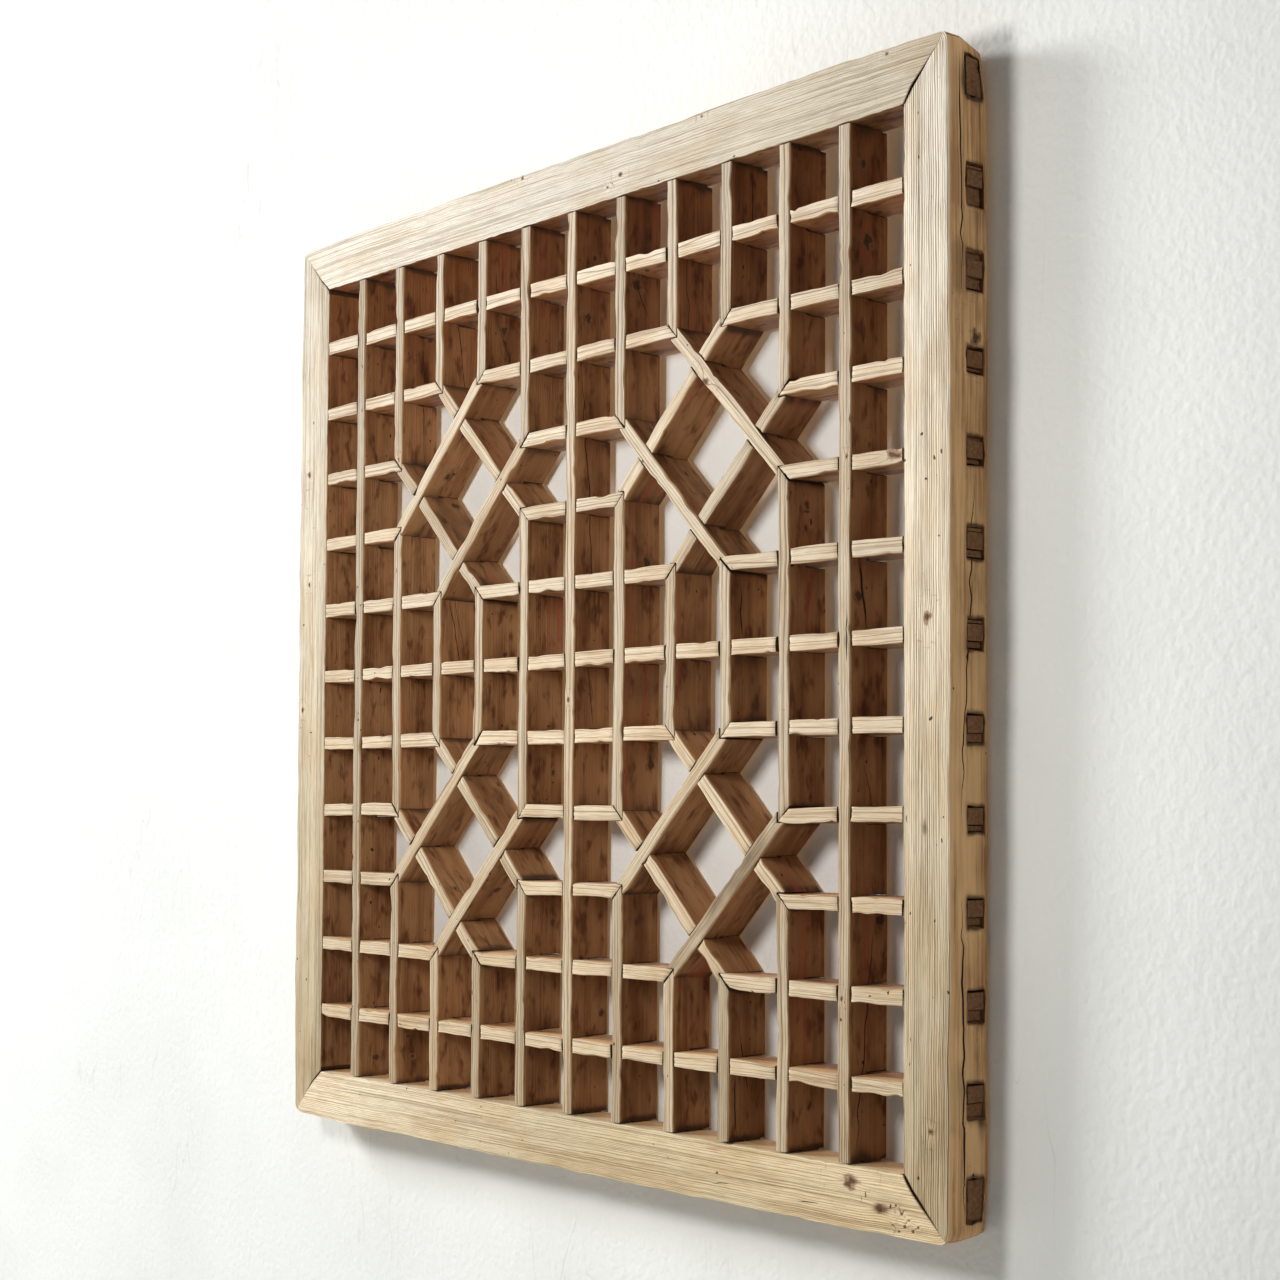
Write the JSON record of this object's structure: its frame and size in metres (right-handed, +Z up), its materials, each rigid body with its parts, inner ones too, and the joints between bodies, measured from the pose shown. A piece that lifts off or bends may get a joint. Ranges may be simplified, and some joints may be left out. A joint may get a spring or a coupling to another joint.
{
  "type": "wood lattice wall panel",
  "caption": "Square panel of old weathered wood: a mitred frame holds a grid of half-lapped bars broken by diamonds of crossed diagonals, made to hang on a wall.",
  "frame": {"origin": "middle of the top rail's back face, where it lies on the wall", "axes": "+Z up, -Y out of the front towards the viewer, +X to the viewer's right; the back lies on the plane y = 0"},
  "size_m": [0.7674, 0.038, 0.7675],
  "materials": {
    "frame_wood": "bare weathered softwood, raised grain, dull",
    "bar_wood": "bare weathered softwood, pale front edges and darker brown sides, dull",
    "diagonal_wood": "bare weathered softwood, pale front edges and darker brown sides, dull"
  },
  "bodies": {
    "root": {"bottom_rail": "frame_wood", "centre_ring": "bar_wood", "crossbar_1": "bar_wood", "crossbar_10_left": "bar_wood", "crossbar_10_middle": "bar_wood", "crossbar_10_right": "bar_wood", "crossbar_11": "bar_wood", "crossbar_2_left": "bar_wood", "crossbar_2_middle": "bar_wood", "crossbar_2_right": "bar_wood", "crossbar_3_left": "bar_wood", "crossbar_3_middle": "bar_wood", "crossbar_3_right": "bar_wood", "crossbar_4_left": "bar_wood", "crossbar_4_right": "bar_wood", "crossbar_5_left": "bar_wood", "crossbar_5_middle": "bar_wood", "crossbar_5_right": "bar_wood", "crossbar_6": "bar_wood", "crossbar_7_left": "bar_wood", "crossbar_7_middle": "bar_wood", "crossbar_7_right": "bar_wood", "crossbar_8_left": "bar_wood", "crossbar_8_right": "bar_wood", "crossbar_9_left": "bar_wood", "crossbar_9_middle": "bar_wood", "crossbar_9_right": "bar_wood", "diamond_lower_left": "diagonal_wood", "diamond_lower_right": "diagonal_wood", "diamond_upper_left": "diagonal_wood", "diamond_upper_right": "diagonal_wood", "left_stile": "frame_wood", "right_stile": "frame_wood", "top_rail": "frame_wood", "upright_1": "bar_wood", "upright_10_bottom": "bar_wood", "upright_10_middle": "bar_wood", "upright_10_top": "bar_wood", "upright_11": "bar_wood", "upright_2_bottom": "bar_wood", "upright_2_middle": "bar_wood", "upright_2_top": "bar_wood", "upright_3_bottom": "bar_wood", "upright_3_middle": "bar_wood", "upright_3_top": "bar_wood", "upright_4_bottom": "bar_wood", "upright_4_middle": "bar_wood", "upright_4_top": "bar_wood", "upright_5_bottom": "bar_wood", "upright_5_top": "bar_wood", "upright_6": "bar_wood", "upright_7_bottom": "bar_wood", "upright_7_top": "bar_wood", "upright_8_bottom": "bar_wood", "upright_8_middle": "bar_wood", "upright_8_top": "bar_wood", "upright_9_bottom": "bar_wood", "upright_9_middle": "bar_wood", "upright_9_top": "bar_wood"}
  },
  "joints": []
}
